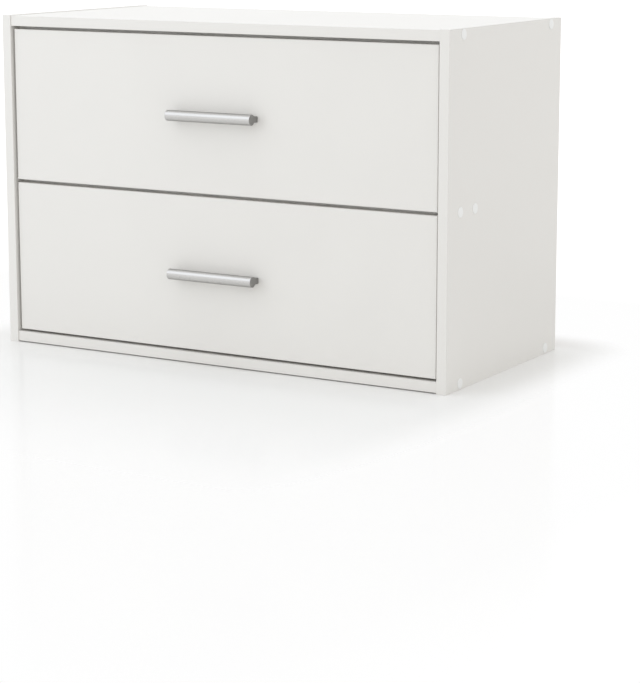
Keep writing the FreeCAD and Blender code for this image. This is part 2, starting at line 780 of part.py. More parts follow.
def make_front(level, front_z):
    label = f"{level}_drawer_front"
    front = cut_board(label, ("board + side_gap", "front_recess", front_z),
                      "front_width", "board", "front_height")
    middle = "front_width / 2"
    handle_z = "front_height / 2 - handle_drop"
    drill(front, front_face(), [
        (f"{middle} - handle_pitch / 2", handle_z),
        (f"{middle} + handle_pitch / 2", handle_z),
    ], "handle_screw_diameter + 2 * handle_hole_clear", "board", label + "_handle_holes")
    side_middle = "runner_space - side_gap + board / 2"
    columns = (side_middle, f"front_width - ({side_middle})")
    drill(front, back_face("board"), [
        (x, z) for x in columns for z in ("box_lift + cam_edge", "box_lift + box_height - cam_edge")
    ], "bolt_thread + 2 * fit_clear", "bolt_anchor + end_clear", label + "_bolt_holes")
    drill(front, back_face("board"), [(x, "box_lift + box_height / 2") for x in columns],
          "dowel_diameter + 2 * fit_clear", "dowel_in_face + end_clear", label + "_dowel_holes")
    groove_x = "runner_space - side_gap + board - groove_depth"
    mill(front, back_face("board"), [
        (groove_x, "box_lift + bottom_lift", f"front_width - 2 * ({groove_x})", "groove_width"),
    ], "groove_depth", label + "_groove")


def make_box_sides(level, front_z):
    label = f"{level}_drawer_left_side"
    side = cut_board(label, ("box_x", "box_y", f"{front_z} + box_lift"),
                     "board", "box_length", "box_height")
    inner = right_face("board")
    cams = ("cam_edge", "box_height - cam_edge")
    drill(side, inner, [("cam_setback", z) for z in cams], "cam_diameter + 2 * fit_clear",
          "cam_height + end_clear", label + "_cam_holes")
    drill(side, front_face(), [("board / 2", z) for z in cams], "bolt_bore", "cam_setback",
          label + "_bolt_bores")
    drill(side, front_face(), [("board / 2", "box_height / 2")],
          "dowel_diameter + 2 * fit_clear", "dowel_length - dowel_in_face + end_clear",
          label + "_dowel_hole")
    mill(side, inner, [("0", "bottom_lift", "box_length", "groove_width")], "groove_depth",
         label + "_groove")
    screws = back_screws()
    drill(side, left_face(), screws, "back_screw_diameter + 2 * fit_clear", "board",
          label + "_back_holes")
    drill(side, left_face(), screws, "back_screw_head_diameter + 2 * fit_clear", "back_screw_head",
          label + "_back_recesses")
    pilot_y = "runner_setback + member_screw_first"
    drill(side, left_face(), [
        (pilot_y, "member_screw_height - sheet"),
        (f"{pilot_y} + member_screw_pitch", "member_screw_height - sheet"),
    ], "member_screw_diameter + 2 * fit_clear", "member_screw_length - sheet + end_clear",
          label + "_member_holes")
    mirrored(f"{level}_drawer_right_side", side)


def back_screws():
    """The screws into the drawer back, measured from a drawer side's front lower corner."""
    y = "box_length - board / 2"
    return [(y, "drawer_back_lift + back_screw_edge"), (y, "box_height - back_screw_edge")]


def bottom_screw_xs():
    """The screws up into the drawer back, measured from its left end."""
    return ["bottom_screw_edge", "box_inner_width / 2", "box_inner_width - bottom_screw_edge"]


def make_box_back(level, front_z):
    label = f"{level}_drawer_back"
    lift = "box_lift + drawer_back_lift"
    back = cut_board(label, ("box_inner_x", "box_y + box_length - board", f"{front_z} + {lift}"),
                     "box_inner_width", "board", "drawer_back_height")
    pilots = [("board / 2", "back_screw_edge"),
              ("board / 2", "drawer_back_height - back_screw_edge")]
    depth = "back_screw_length + back_screw_head - board + end_clear"
    for side, face in (("left", left_face()), ("right", right_face("box_inner_width"))):
        drill(back, face, pilots, "back_screw_diameter + 2 * fit_clear", depth,
              f"{label}_{side}_pilots")
    drill(back, lower_face(), [(x, "board / 2") for x in bottom_screw_xs()],
          "bottom_screw_diameter + 2 * fit_clear",
          "bottom_screw_length - hardboard - groove_clear + end_clear", label + "_bottom_pilots")


def make_box_bottom(level, front_z):
    label = f"{level}_drawer_bottom"
    lift = "box_lift + bottom_lift + groove_clear"
    bottom = cut_board(label, ("box_inner_x - tongue", "box_y - tongue", f"{front_z} + {lift}"),
                       "box_inner_width + 2 * tongue", "box_length + tongue", "hardboard")
    screw_y = "tongue + box_length - board / 2"
    drill(bottom, lower_face(), [(f"tongue + {x}", screw_y) for x in bottom_screw_xs()],
          "bottom_screw_diameter + 2 * fit_clear", "hardboard", label + "_screw_holes")


def make_handle(level, front_z):
    """One solid: a round bar with bevelled ends on two square-cornered feet."""
    label = f"{level}_handle"
    handle = keep(new_body(label), label)
    bar_sketch = sketch_on(handle, "YZ_Plane", "0", label + "_bar_sketch")
    add_circle(bar_sketch, "-handle_standoff", "0", "bar_diameter")
    bar = feature(handle, "PartDesign::Pad", bar_sketch, "handle_length", False, label + "_bar")
    doc.recompute()
    bevel = handle.newObject("PartDesign::Chamfer", label + "_bevels")
    bevel.Base = (bar, [
        f"Edge{number}" for number, edge in enumerate(bar.Shape.Edges, start=1) if edge.Closed
    ])
    bind(bevel, "Size", "bar_bevel")
    feet = sketch_on(handle, "XZ_Plane", "0", label + "_feet_sketch")
    for left in ("0", "handle_length - foot_length"):
        add_rectangle(feet, left, "-foot_height / 2", "foot_length", "foot_height")
    feature(handle, "PartDesign::Pad", feet, "handle_standoff", False, label + "_feet")
    plane, offset, _ = front_face()
    drill(handle, (plane, offset, True), [
        ("foot_length / 2", "0"),
        ("handle_length - foot_length / 2", "0"),
    ], "handle_screw_diameter + 2 * fit_clear", "handle_screw_grip + end_clear",
          label + "_screw_holes")
    middle_z = f"{front_z} + front_height / 2 - handle_drop"
    place(handle, ("handle_x", "front_recess", middle_z))
    copies(f"{level}_handle_screws", fasteners["handle screw"], TO_FRONT, [
        (f"handle_x + {x}", "front_recess + board + handle_screw_head", middle_z)
        for x in ("foot_length / 2", "handle_length - foot_length / 2")
    ], both_sides=False)


def make_drawer_fasteners(level, front_z):
    box_z = f"{front_z} + box_lift"
    cams = [f"{box_z} + cam_edge", f"{box_z} + box_height - cam_edge"]
    copies(f"{level}_drawer_cam_locks", fasteners["cam"], TO_LEFT,
           [("box_inner_x", "box_y + cam_setback", z) for z in cams])
    copies(f"{level}_drawer_cam_bolts", fasteners["cam bolt"], TO_BACK,
           [("box_x + board / 2", "box_y - bolt_anchor", z) for z in cams])
    copies(f"{level}_drawer_dowels", fasteners["dowel"], TO_BACK,
           [("box_x + board / 2", "box_y - dowel_in_face", f"{box_z} + box_height / 2")])
    copies(f"{level}_drawer_back_screws", fasteners["back screw"], TO_RIGHT,
           [("box_x", f"box_y + {y}", f"{box_z} + {z}") for y, z in back_screws()])
    copies(f"{level}_drawer_bottom_screws", fasteners["bottom screw"], UPWARD, [
        (f"box_inner_x + {x}", "box_y + box_length - board / 2",
         f"{box_z} + bottom_lift + groove_clear - bottom_screw_head")
        for x in bottom_screw_xs()
    ], both_sides=False)


def make_drawer(level, front_z):
    make_front(level, front_z)
    make_box_sides(level, front_z)
    make_box_back(level, front_z)
    make_box_bottom(level, front_z)
    make_handle(level, front_z)
    make_drawer_runners(level, front_z)
    make_drawer_fasteners(level, front_z)


# Checks and files


def check_document():
    """Stops if a feature failed, a cut removed nothing or a sub-part has no sound solid."""
    for item in doc.Objects:
        if "Invalid" in item.State or "Error" in item.State:
            raise RuntimeError(f"{item.Label} could not be made")
        if item.TypeId == "PartDesign::Pocket":
            if not item.Shape.Volume < item.BaseFeature.Shape.Volume:
                raise RuntimeError(f"{item.Label} cuts nothing")
    for item in sub_parts:
        if item.Shape.isNull() or not item.Shape.isValid() or not item.Shape.Solids:
            raise RuntimeError(f"{item.Label} is not a sound solid")


def write_files():
    os.makedirs("parts", exist_ok=True)
    for item in sub_parts:
        item.Shape.exportStep(f"parts/{item.Label}.step")


fill_sheet()
fasteners = {
    "dowel": make_dowel(),
    "rivet": make_rivet(),
    "cam": make_cam(),
    "cam bolt": make_cam_bolt(),
    "rail screw": headed_screw("rail_screw", "rail_screw_length"),
    "cabinet screw": headed_screw("cabinet_screw", "cabinet_screw_length"),
    "member screw": headed_screw("member_screw", "member_screw_length"),
    "back screw": headed_screw("back_screw", "back_screw_length"),
    "bottom screw": headed_screw("bottom_screw", "bottom_screw_length"),
    "handle screw": headed_screw("handle_screw", "board + handle_screw_grip"),
}
make_carcass()
for drawer_level, drawer_z in DRAWERS.items():
    make_cabinet_runners(drawer_level, drawer_z)
    make_drawer(drawer_level, drawer_z)
doc.recompute()
check_document()
write_files()
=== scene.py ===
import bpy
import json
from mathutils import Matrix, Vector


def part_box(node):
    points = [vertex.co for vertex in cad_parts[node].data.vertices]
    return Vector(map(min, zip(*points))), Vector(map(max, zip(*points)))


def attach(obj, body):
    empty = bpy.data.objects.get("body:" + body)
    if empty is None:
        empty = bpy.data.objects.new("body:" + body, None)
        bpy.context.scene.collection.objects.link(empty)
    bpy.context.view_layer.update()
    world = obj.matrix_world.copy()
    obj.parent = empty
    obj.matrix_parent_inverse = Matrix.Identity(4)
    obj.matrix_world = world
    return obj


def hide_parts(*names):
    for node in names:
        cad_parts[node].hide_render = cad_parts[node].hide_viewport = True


bl_info = {
    "name": "Two-drawer chest",
    "version": (1, 0, 0),
    "blender": (4, 5, 0),
    "location": "3D View > Sidebar > Chest",
    "description": "Finishes a white two-drawer chest: boards, handles, cover caps, runners and stage",
    "category": "Add Mesh",
}

import json
import math

import bmesh
import bpy
from bpy.props import FloatProperty, FloatVectorProperty, IntProperty, PointerProperty
from mathutils import Euler, Vector

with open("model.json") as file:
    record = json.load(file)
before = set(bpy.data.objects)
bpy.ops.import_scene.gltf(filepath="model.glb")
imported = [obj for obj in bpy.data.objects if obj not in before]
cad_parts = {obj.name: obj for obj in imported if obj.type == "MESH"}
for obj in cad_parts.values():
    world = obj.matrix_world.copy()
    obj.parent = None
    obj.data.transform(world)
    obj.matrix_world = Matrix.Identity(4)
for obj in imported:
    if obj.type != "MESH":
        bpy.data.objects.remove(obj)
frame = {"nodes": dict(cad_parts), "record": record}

MILLIMETRE = 0.001
LEVELS = ("lower", "upper")
SIDES = ("left", "right")
SENSOR_WIDTH = 36
AXES = {"X": Vector((1, 0, 0)), "Y": Vector((0, 1, 0)), "Z": Vector((0, 0, 1))}

# Each board's banded edges: the two edges that face along each axis named here carry a glued band,
# and the others are bare cut ends, hidden in the joints.
CARCASS_BOARDS = {
    "left_side_panel": "YZ",
    "right_side_panel": "YZ",
    "top_panel": "Y",
    "bottom_panel": "Y",
    "middle_rail": "Y",
    "top_rail": "Y",
}
DRAWER_BOARDS = {
    "drawer_front": "XZ",
    "drawer_left_side": "Z",
    "drawer_right_side": "Z",
    "drawer_back": "Z",
}

# Most of a noise texture's values lie between these.
NOISE_LOW = 0.3
NOISE_HIGH = 0.7

# The floor's index of refraction is low, so it mirrors the chest only faintly. Its fade to white
# stops just short of pure white. Near the chest the white makes room for what the floor mirrors, and
# that ends between the last two, which are distances in metres.
FLOOR_IOR = 1.1
WHITEST = 0.99
MIRROR_FADE_FROM = 2.0
MIRROR_FADE_AT = 4.0


# Sizes and colours that a user would change


def colour(name, description, default):
    return FloatVectorProperty(name=name, description=description, subtype="COLOR", size=3,
                               min=0.0, max=1.0, default=default)


def length(name, description, default):
    return FloatProperty(name=name, description=description, unit="LENGTH", subtype="DISTANCE",
                         min=0.0, precision=5, default=default)


def share(name, description, default):
    return FloatProperty(name=name, description=description, subtype="FACTOR",
                         min=0.0, max=1.0, default=default)


def angle(name, description, default):
    return FloatProperty(name=name, description=description, unit="ROTATION", subtype="ANGLE",
                         default=math.radians(default))


def angles(name, description, default):
    turns = tuple(math.radians(turn) for turn in default)
    return FloatVectorProperty(name=name, description=description, subtype="EULER", size=2,
                               default=turns)


def power(name, description, default):
    return FloatProperty(name=name, description=description, unit="POWER", min=0.0, default=default)


def place(name, description, default):
    return FloatVectorProperty(name=name, description=description, subtype="TRANSLATION",
                               unit="LENGTH", size=3, default=default)


class BoardSettings(bpy.types.PropertyGroup):
    coating: colour("Coating", "Colour of the boards' white coating", (0.835, 0.817, 0.782))
    roughness: share("Roughness", "Roughness of the coating", 0.38)
    arris: length("Arris", "Rounding of a board's edges", 0.4 * MILLIMETRE)
    band: length("Edge band", "Thickness of the band glued to a board's edge", 0.8 * MILLIMETRE)
    pearl: length("Pearl", "Size of the coating's fine pearl texture", 0.9 * MILLIMETRE)
    core: colour("Core", "Colour of the chipboard inside a board", (0.45, 0.33, 0.20))
    hardboard: colour("Hardboard", "Colour of the bare side of the hardboard", (0.30, 0.18, 0.10))


class HandleSettings(bpy.types.PropertyGroup):
    metal: colour("Metal", "Colour of the satin metal", (0.60, 0.592, 0.58))
    edge_tint: colour("Edge tint", "Tint of the metal where it is seen edge on", (0.3, 0.3, 0.31))
    # This share is painted shade: it darkens the metal's colour on the faces that look along the bar,
    # its cut ends and the feet beside them.
    end_shade: share("End shade", "Painted shade on the cut ends and the feet beside the bar's", 0.6)
    roughness: share("Roughness", "Roughness of the satin metal", 0.30)
    foot_length: length("Foot length", "Length of a foot along the bar", 14.6 * MILLIMETRE)
    foot_height: length("Foot height", "Height of a foot", 8.6 * MILLIMETRE)
    rounding: length("Rounding", "Rounding of the bar's ends and of the feet", 0.7 * MILLIMETRE)
    steps: IntProperty(name="Steps", description="Straight steps round the bar", default=96, min=12)


class CapSettings(bpy.types.PropertyGroup):
    plastic: colour("Plastic", "Colour of the cover caps", (0.92, 0.92, 0.905))
    roughness: share("Roughness", "Roughness of the cover caps", 0.42)
    rim: length("Rim", "Rounding of a cap's rim", 0.6 * MILLIMETRE)
    dome: length("Dome", "Rise of a cap's face from its rim to its middle", 0.25 * MILLIMETRE)
    pin_radius: length("Pin radius", "Radius of the pin behind a cap", 1.9 * MILLIMETRE)
    pin_length: length("Pin length", "Length of the pin behind a cap", 2.2 * MILLIMETRE)
    steps: IntProperty(name="Steps", description="Straight steps round a cap", default=64, min=12)


class FittingSettings(bpy.types.PropertyGroup):
    runner: colour("Runner", "Colour of the runners' baked coating", (0.80, 0.80, 0.79))
    fold: length("Fold", "Rounding of the runners' folds", 0.5 * MILLIMETRE)
    nylon: colour("Nylon", "Colour of the rollers", (0.76, 0.75, 0.70))
    zinc: colour("Zinc", "Colour of the zinc-plated fasteners", (0.60, 0.61, 0.63))
    beech: colour("Beech", "Colour of the dowels", (0.60, 0.42, 0.25))


class StageSettings(bpy.types.PropertyGroup):
    floor: colour("Floor", "Colour of the floor", (0.832, 0.822, 0.802))
    floor_size: length("Floor size", "Side of the square floor", 30.0)
    floor_roughness: share("Floor roughness", "Roughness of the floor", 0.15)
    white_from: length("White from", "How far from the chest the floor starts to fade to white", 0.15)
    white_at: length("White at", "How far from the chest the floor has faded to white", 0.6)
    side_fade: FloatProperty(name="Side fade", default=5.0, min=0.0,
                             description="How much quicker it fades beside and behind the chest")
    ambient: share("Ambient", "Level of the even light from all round", 0.905)
    lamp_colour: colour("Lamp colour", "Colour of the three lamps", (0.82, 0.90, 1.0))
    overhead: share("Overhead", "Level of the light from straight above", 0.185)
    overhead_spread: angle("Overhead spread", "Width of that light seen from the chest", 30)
    front_lamp: power("Front lamp", "Power of the low lamp at the front left", 2.6)
    front_lamp_size: length("Front lamp size", "Side of the front lamp", 1.0)
    front_lamp_place: place("Front lamp place", "Where the front lamp stands", (-1.2, -2.0, 0.55))
    softbox: power("Softbox", "Power of the soft lamp that the metal mirrors", 6.6)
    softbox_size: length("Softbox size", "Side of the softbox", 1.8)
    softbox_place: place("Softbox place", "Where the softbox hangs", (-1.3, -1.5, 1.65))
    camera_place: place("Camera place", "Where the camera stands", (1.690, -2.75885, 0.667))
    camera_turn: angles("Camera turn", "Turn to the left and tilt down of the camera",
                        (30.33, 10.48))
    lens: FloatProperty(name="Lens", description="Focal length in millimetres on a 36 mm sensor",
                        default=114.64, min=1.0)
    shift: FloatProperty(name="Shift", description="Upward shift of the lens", default=-0.0586)


class ChestSettings(bpy.types.PropertyGroup):
    boards: PointerProperty(type=BoardSettings)
    handles: PointerProperty(type=HandleSettings)
    caps: PointerProperty(type=CapSettings)
    fittings: PointerProperty(type=FittingSettings)
    stage: PointerProperty(type=StageSettings)


# Shader nodes


def put(socket, value):
    """Links a socket to an input, or writes a plain value there."""
    if isinstance(value, bpy.types.NodeSocket):
        socket.id_data.links.new(value, socket)
    elif hasattr(socket.default_value, "__len__") and len(socket.default_value) > len(value):
        socket.default_value = (*value, 1.0)
    else:
        socket.default_value = value


def add_node(tree, kind, inputs, **settings):
    """A node with its settings and its inputs, which are named as Blender's sockets or numbered."""
    node = tree.nodes.new(kind)
    for name, value in settings.items():
        setattr(node, name, value)
    for name, value in inputs.items():
        put(node.inputs[name], value)
    return node


def calculate(tree, operation, *values, clamp=False):
    inputs = dict(enumerate(values))
    return add_node(tree, "ShaderNodeMath", inputs, operation=operation, use_clamp=clamp).outputs[0]


def combine(tree, operation, *values):
    node = add_node(tree, "ShaderNodeVectorMath", dict(enumerate(values)), operation=operation)
    return node.outputs["Value" if operation in ("DOT_PRODUCT", "LENGTH") else "Vector"]


def place_on_piece(tree):
    """Where a point is on the chest at rest, in metres."""
    return tree.nodes.new("ShaderNodeTexCoord").outputs["Object"]


def facing(tree):
    """The direction that the surface faces, on the chest at rest."""
    return tree.nodes.new("ShaderNodeTexCoord").outputs["Normal"]


def noise(tree, vector, scale, detail=2.0, roughness=0.5):
    inputs = {"Vector": vector, "Scale": scale, "Detail": detail, "Roughness": roughness}
    return add_node(tree, "ShaderNodeTexNoise", inputs).outputs["Fac"]


def spread(tree, value, low, high, to_low=0.0, to_high=1.0, ease="LINEAR"):
    """The value's stretch from low to high, spread over another range and held inside it."""
    inputs = {"Value": value, "From Min": low, "From Max": high, "To Min": to_low, "To Max": to_high}
    node = add_node(tree, "ShaderNodeMapRange", inputs, clamp=True, interpolation_type=ease)
    return node.outputs["Result"]


def between(tree, mask, first, second):
    """The first value where the mask is nought, the second where it is one."""
    return spread(tree, mask, 0.0, 1.0, first, second)


def vary(tree, texture, low, high):
    """A noise texture's usual stretch, spread from low to high."""
    return spread(tree, texture, NOISE_LOW, NOISE_HIGH, low, high)


def blend_colours(tree, factor, first, second):
    inputs = {0: factor, 6: first, 7: second}
    return add_node(tree, "ShaderNodeMix", inputs, data_type="RGBA").outputs[2]


def scale_colour(tree, tint, factor):
    """A colour made lighter or darker by a number."""
    node = tree.nodes.new("ShaderNodeVectorMath")
    node.operation = "SCALE"
    put(node.inputs[0], tint)
    put(node.inputs["Scale"], factor)
    return node.outputs["Vector"]


def bump(tree, height, distance, strength=1.0):
    inputs = {"Height": height, "Distance": distance, "Strength": strength}
    return add_node(tree, "ShaderNodeBump", inputs).outputs["Normal"]


def start_group(name, inputs, outputs):
    """An empty node group with named inputs and outputs; each input is its kind and its default."""
    tree = bpy.data.node_groups.new(name, "ShaderNodeTree")
    for label, (kind, default) in inputs.items():
        socket = tree.interface.new_socket(label, in_out="INPUT", socket_type="NodeSocket" + kind)
        socket.default_value = default
    for label in outputs:
        tree.interface.new_socket(label, in_out="OUTPUT", socket_type="NodeSocketFloat")
    return tree, tree.nodes.new("NodeGroupInput").outputs, tree.nodes.new("NodeGroupOutput").inputs


def use_group(tree, name, **inputs):
    """A copy of a node group in a material, with its own values."""
    node = tree.nodes.new("ShaderNodeGroup")
    node.node_tree = bpy.data.node_groups[name]
    for label, value in inputs.items():
        put(node.inputs[label.replace("_", " ")], value)
    return node.outputs


def make_board_layers():
    """Tells a coated board's layers apart by how deep a point lies in the board: its chipboard core,
    and the glue joint between the coating and an edge band."""
    coating_depth = 0.3 * MILLIMETRE
    soft = 0.1 * MILLIMETRE
    tree, given, made = start_group("Board layers", {
        "Low corner": ("Vector", (0, 0, 0)),
        "High corner": ("Vector", (1, 1, 1)),
        "Thickness axis": ("Vector", (1, 0, 0)),
        "Banded axes": ("Vector", (0, 1, 1)),
        "Band": ("Float", 0.8 * MILLIMETRE),
    }, ("Core", "Joint"))
    place = place_on_piece(tree)
    depth = combine(tree, "MINIMUM", combine(tree, "SUBTRACT", place, given["Low corner"]),
                    combine(tree, "SUBTRACT", given["High corner"], place))
    from_face = combine(tree, "DOT_PRODUCT", depth, given["Thickness axis"])
    bare_axes = combine(tree, "SUBTRACT", (1, 1, 1), given["Banded axes"])
    from_bands = add_node(tree, "ShaderNodeSeparateXYZ", {0: combine(tree, "ADD", depth, bare_axes)})
    nearest = calculate(tree, "MINIMUM", from_bands.outputs["X"], from_bands.outputs["Y"])
    nearest = calculate(tree, "MINIMUM", nearest, from_bands.outputs["Z"])
    under_coating = spread(tree, from_face, coating_depth, coating_depth + soft)
    past_band = calculate(tree, "SUBTRACT", nearest, given["Band"])
    behind_band = spread(tree, past_band, 0.0, soft)
    put(made["Core"], calculate(tree, "MULTIPLY", under_coating, behind_band))
    at_joint = spread(tree, calculate(tree, "ABSOLUTE", past_band), soft / 2, soft, 1.0, 0.0)
    on_coating = calculate(tree, "SUBTRACT", 1.0, under_coating)
    put(made["Joint"], calculate(tree, "MULTIPLY", at_joint, on_coating))


def make_fine_surface():
    """The fine texture of a coated or moulded surface: its height, and a broad uneven tone."""
    tree, given, made = start_group("Fine surface", {
        "Grain": ("Float", MILLIMETRE),
        "Patch": ("Float", 120 * MILLIMETRE),
    }, ("Height", "Tone"))
    place = place_on_piece(tree)
    fine = calculate(tree, "DIVIDE", 1.0, given["Grain"])
    broad = calculate(tree, "DIVIDE", 1.0, given["Patch"])
    put(made["Height"], noise(tree, place, fine, detail=3.0, roughness=0.6))
    put(made["Tone"], vary(tree, noise(tree, place, broad, detail=3.0), 0.0, 1.0))


def make_drawn_lines():
    """Fine lines along one axis, as brushing, drawing or wood grain leaves them."""
    tree, given, made = start_group("Drawn lines", {
        "Stretch": ("Vector", (1, 1, 1)),
        "Pitch": ("Float", 0.3 * MILLIMETRE),
    }, ("Height", "Tone"))
    place = combine(tree, "MULTIPLY", place_on_piece(tree), given["Stretch"])
    lines_in_streak = 9.0
    fine = calculate(tree, "DIVIDE", 1.0, given["Pitch"])
    broad = calculate(tree, "DIVIDE", fine, lines_in_streak)
    put(made["Height"], noise(tree, place, fine, detail=2.0, roughness=0.7))
    put(made["Tone"], vary(tree, noise(tree, place, broad, detail=4.0), 0.0, 1.0))


def start_material(name):
    """A material with only its Principled shader, and that shader's inputs."""
    material = bpy.data.materials.new(name)
    material.use_nodes = True
    tree = material.node_tree
    return material, tree, tree.nodes["Principled BSDF"].inputs


def coated_board(name, low, high, banded):
    """White coated chipboard: a fine pearl coating, bands on the edges named, chipboard inside."""
    darkest_patch = 0.985
    joint_shade = 0.25
    joint_groove = 3.0
    chips_per_metre = 420.0
    specks_per_metre = 900.0
    core_roughness = 0.9
    unevenness = 0.03
    boards = bpy.context.scene.chest.boards
    material, tree, surface = start_material(name)
    size = high - low
    thin = min(AXES, key=lambda axis: size.dot(AXES[axis]))
    layers = use_group(tree, "Board layers", Low_corner=low, High_corner=high,
                       Thickness_axis=AXES[thin], Band=boards.band,
                       Banded_axes=sum((AXES[axis] for axis in banded), Vector()))
    fine = use_group(tree, "Fine surface", Grain=boards.pearl)
    tone = calculate(tree, "SUBTRACT", between(tree, fine["Tone"], darkest_patch, 1.0),
                     calculate(tree, "MULTIPLY", layers["Joint"], joint_shade))
    coating = scale_colour(tree, boards.coating, tone)
    chips = add_node(tree, "ShaderNodeTexVoronoi", {
        "Vector": place_on_piece(tree), "Scale": chips_per_metre, "Randomness": 1.0,
    })
    specks = noise(tree, chips.outputs["Position"], specks_per_metre)
    core = scale_colour(tree, boards.core, vary(tree, specks, 0.55, 1.25))
    put(surface["Base Color"], blend_colours(tree, layers["Core"], coating, core))
    smooth = between(tree, fine["Tone"], boards.roughness - unevenness,
                     boards.roughness + unevenness)
    rough = calculate(tree, "MULTIPLY", layers["Core"], core_roughness)
    put(surface["Roughness"], calculate(tree, "MAXIMUM", smooth, rough))
    relief = calculate(tree, "MULTIPLY_ADD", layers["Joint"], -joint_groove, fine["Height"])
    relief = calculate(tree, "MULTIPLY_ADD", layers["Core"], chips.outputs["Distance"], relief)
    put(surface["Normal"], bump(tree, relief, distance=0.012 * MILLIMETRE))
    return material


def faced_hardboard(name, white_side):
    """Hardboard, white and smooth on the side that faces along the vector, bare and brown behind."""
    wires_per_metre = 500.0
    wire_depth = 6.0
    boards = bpy.context.scene.chest.boards
    material, tree, surface = start_material(name)
    white = spread(tree, combine(tree, "DOT_PRODUCT", facing(tree), white_side), 0.4, 0.6)
    fine = use_group(tree, "Fine surface", Grain=0.5 * MILLIMETRE, Patch=60 * MILLIMETRE)
    fibres = use_group(tree, "Fine surface", Grain=1.6 * MILLIMETRE, Patch=9 * MILLIMETRE)
    brown = scale_colour(tree, boards.hardboard, vary(tree, fibres["Height"], 0.75, 1.2))
    coating = scale_colour(tree, boards.coating, between(tree, fine["Tone"], 0.96, 0.99))
    put(surface["Base Color"], blend_colours(tree, white, brown, coating))
    put(surface["Roughness"], between(tree, white, 0.8, 0.45))
    wires = add_node(tree, "ShaderNodeTexVoronoi", {
        "Vector": place_on_piece(tree), "Scale": wires_per_metre, "Randomness": 0.15,
    })
    mesh_print = calculate(tree, "MULTIPLY", wires.outputs["Distance"],
                           calculate(tree, "SUBTRACT", 1.0, white))
    relief = calculate(tree, "MULTIPLY_ADD", mesh_print, wire_depth, fine["Height"])
    put(surface["Normal"], bump(tree, relief, distance=0.015 * MILLIMETRE))
    return material


def satin_metal(name):
    """Metal with a fine satin finish drawn along the bar, and painted shade that darkens its cut ends
    and the feet's faces beside them.
    """
    unevenness = 0.05
    handles = bpy.context.scene.chest.handles
    material, tree, surface = start_material(name)
    lines = use_group(tree, "Drawn lines", Stretch=(0.04, 1, 1), Pitch=0.25 * MILLIMETRE)
    # Painted shade: where the surface faces along the bar, on its cut ends and the feet beside them,
    # the metal's colour is darkened down to the share set for the ends.
    along = calculate(tree, "ABSOLUTE", combine(tree, "DOT_PRODUCT", facing(tree), AXES["X"]))
    tone = calculate(tree, "MULTIPLY", between(tree, lines["Tone"], 0.97, 1.03),
                     spread(tree, along, 0.5, 0.9, 1.0, handles.end_shade))
    put(surface["Base Color"], scale_colour(tree, handles.metal, tone))
    put(surface["Metallic"], 1.0)
    put(surface["Specular Tint"], handles.edge_tint)
    put(surface["Roughness"], vary(tree, lines["Height"], handles.roughness - unevenness,
                                   handles.roughness + unevenness))
    put(surface["Normal"], bump(tree, lines["Height"], distance=0.003 * MILLIMETRE))
    return material


def moulded_plastic(name, tint, roughness, grain):
    """Moulded plastic with a fine matt texture."""
    unevenness = 0.04
    material, tree, surface = start_material(name)
    fine = use_group(tree, "Fine surface", Grain=grain, Patch=12 * MILLIMETRE)
    put(surface["Base Color"], scale_colour(tree, tint, between(tree, fine["Tone"], 0.975, 1.0)))
    put(surface["Roughness"], vary(tree, fine["Height"], roughness - unevenness,
                                   roughness + unevenness))
    put(surface["Normal"], bump(tree, fine["Height"], distance=0.006 * MILLIMETRE))
    return material


def baked_coating(name):
    """The runners' white baked coating, with a slight orange peel."""
    fittings = bpy.context.scene.chest.fittings
    material, tree, surface = start_material(name)
    peel = use_group(tree, "Fine surface", Grain=1.8 * MILLIMETRE, Patch=25 * MILLIMETRE)
    tone = between(tree, peel["Tone"], 0.96, 1.0)
    put(surface["Base Color"], scale_colour(tree, fittings.runner, tone))
    put(surface["Roughness"], between(tree, peel["Tone"], 0.28, 0.36))
    put(surface["Normal"], bump(tree, peel["Height"], distance=0.03 * MILLIMETRE))
    return material


def zinc_plate(name):
    """Bright zinc plate, with a faint uneven passivated tint."""
    warmth = (1.06, 1.0, 0.88)
    fittings = bpy.context.scene.chest.fittings
    material, tree, surface = start_material(name)
    skin = use_group(tree, "Fine surface", Grain=0.4 * MILLIMETRE, Patch=4 * MILLIMETRE)
    warm = [channel * factor for channel, factor in zip(fittings.zinc, warmth)]
    tint = between(tree, skin["Tone"], 0.0, 0.5)
    put(surface["Base Color"], blend_colours(tree, tint, fittings.zinc, warm))
    put(surface["Metallic"], 1.0)
    put(surface["Roughness"], vary(tree, skin["Height"], 0.26, 0.42))
    put(surface["Normal"], bump(tree, skin["Height"], distance=0.006 * MILLIMETRE))
    return material


def plain_beech(name, along):
    """Bare beech with its grain along one axis."""
    stretched = 0.95
    fittings = bpy.context.scene.chest.fittings
    material, tree, surface = start_material(name)
    stretch = Vector((1, 1, 1)) - AXES[along] * stretched
    grain = use_group(tree, "Drawn lines", Stretch=stretch, Pitch=0.5 * MILLIMETRE)
    tone = vary(tree, grain["Height"], 0.82, 1.1)
    put(surface["Base Color"], scale_colour(tree, fittings.beech, tone))
    put(surface["Roughness"], between(tree, grain["Tone"], 0.6, 0.75))
    put(surface["Normal"], bump(tree, grain["Height"], distance=0.03 * MILLIMETRE))
    return material


# Shapes


def dress(piece, material):
    """Gives a piece one material, in place of what it had."""
    piece.data.materials.clear()
    piece.data.materials.append(material)


def add_bevel(piece, radius, steps, sharp):
    """A modifier that rounds the edges where the surface turns by more than the angle in degrees."""
    bevel = piece.modifiers.new("Rounded edges", "BEVEL")
    bevel.width = radius
    bevel.segments = steps
    bevel.limit_method = "ANGLE"
    bevel.angle_limit = math.radians(sharp)
    bevel.harden_normals = True
    return bevel


